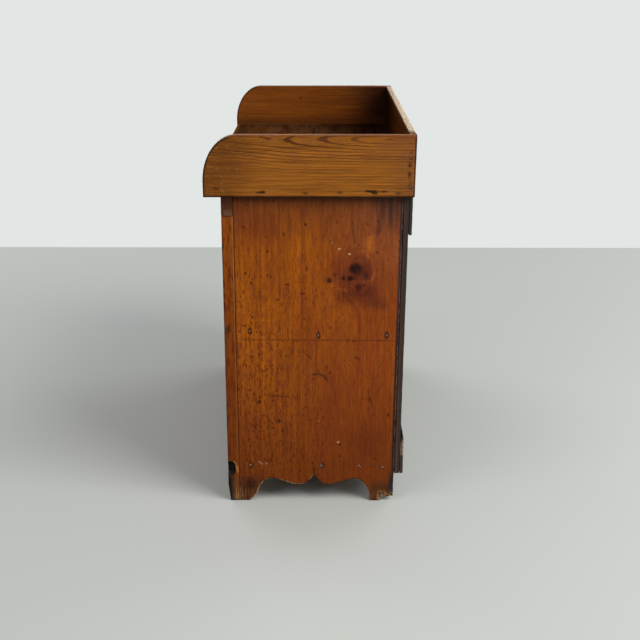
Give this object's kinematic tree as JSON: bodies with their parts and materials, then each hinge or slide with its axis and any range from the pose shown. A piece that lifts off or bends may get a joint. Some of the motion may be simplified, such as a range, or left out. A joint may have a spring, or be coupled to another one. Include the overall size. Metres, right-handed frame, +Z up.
{
  "type": "bucket bench cabinet",
  "caption": "Old pine bucket bench cabinet: framed doors below an open gallery with rounded ends, on scalloped feet.",
  "frame": {"origin": "on the floor under the middle of the overall box", "axes": "+X along the length to the right as seen from the front, +Y from the door front to the back boards, +Z up"},
  "size_m": [0.965, 0.442, 0.84],
  "materials": {
    "case_pine": "worn satin shellac on old orange-brown pine",
    "gallery_pine": "worn satin shellac on amber pine",
    "inner_pine": "bare aged pine",
    "back_pine": "bare grimy pine",
    "door_pine": "worn satin shellac on old orange-brown pine",
    "knob_wood": "hand-polished dark turned wood",
    "iron": "dark oxidised iron"
  },
  "bodies": {
    "case": {"back_batten_bottom": "back_pine", "back_batten_top": "back_pine", "back_board_1": "back_pine", "back_board_2": "back_pine", "back_board_3": "back_pine", "back_board_4": "back_pine", "back_board_5": "back_pine", "back_board_6": "back_pine", "bottom_board": "inner_pine", "bottom_rail": "case_pine", "centre_stile": "case_pine", "gallery_back": "gallery_pine", "gallery_left_end": "gallery_pine", "gallery_right_end": "gallery_pine", "left_lower_hinge_frame_leaf": "iron", "left_lower_hinge_pin": "iron", "left_side": "case_pine", "left_stile": "case_pine", "left_upper_hinge_frame_leaf": "iron", "left_upper_hinge_pin": "iron", "middle_shelf": "inner_pine", "right_lower_hinge_frame_leaf": "iron", "right_lower_hinge_pin": "iron", "right_side": "case_pine", "right_stile": "case_pine", "right_upper_hinge_frame_leaf": "iron", "right_upper_hinge_pin": "iron", "top_board": "gallery_pine", "top_rail": "case_pine", "turn_button_screw": "iron"},
    "left_door": {"left_door_bottom_rail": "door_pine", "left_door_hinge_bottom_peg": "door_pine", "left_door_hinge_stile": "door_pine", "left_door_hinge_top_peg": "door_pine", "left_door_lock_bottom_peg": "door_pine", "left_door_lock_stile": "door_pine", "left_door_lock_top_peg": "door_pine", "left_door_panel": "door_pine", "left_door_top_rail": "door_pine", "left_knob": "knob_wood", "left_lower_hinge_door_leaf": "iron", "left_upper_hinge_door_leaf": "iron"},
    "right_door": {"right_door_bottom_rail": "door_pine", "right_door_hinge_bottom_peg": "door_pine", "right_door_hinge_stile": "door_pine", "right_door_hinge_top_peg": "door_pine", "right_door_lock_bottom_peg": "door_pine", "right_door_lock_stile": "door_pine", "right_door_lock_top_peg": "door_pine", "right_door_panel": "door_pine", "right_door_top_rail": "door_pine", "right_knob": "knob_wood", "right_lower_hinge_door_leaf": "iron", "right_upper_hinge_door_leaf": "iron"},
    "turn_button": {"turn_button": "knob_wood"}
  },
  "joints": [
    {"name": "left_door_hinge", "type": "hinge", "parent": "case", "child": "left_door", "pos_m": [-0.396, -0.1893, 0.103], "axis": [0, 0, -1], "range_deg": [0, 170]},
    {"name": "right_door_hinge", "type": "hinge", "parent": "case", "child": "right_door", "pos_m": [0.396, -0.1893, 0.103], "axis": [0, 0, 1], "range_deg": [0, 170]},
    {"name": "turn_button_pivot", "type": "hinge", "parent": "case", "child": "turn_button", "pos_m": [0, -0.186, 0.53], "axis": [0, 1, 0], "continuous": true}
  ]
}
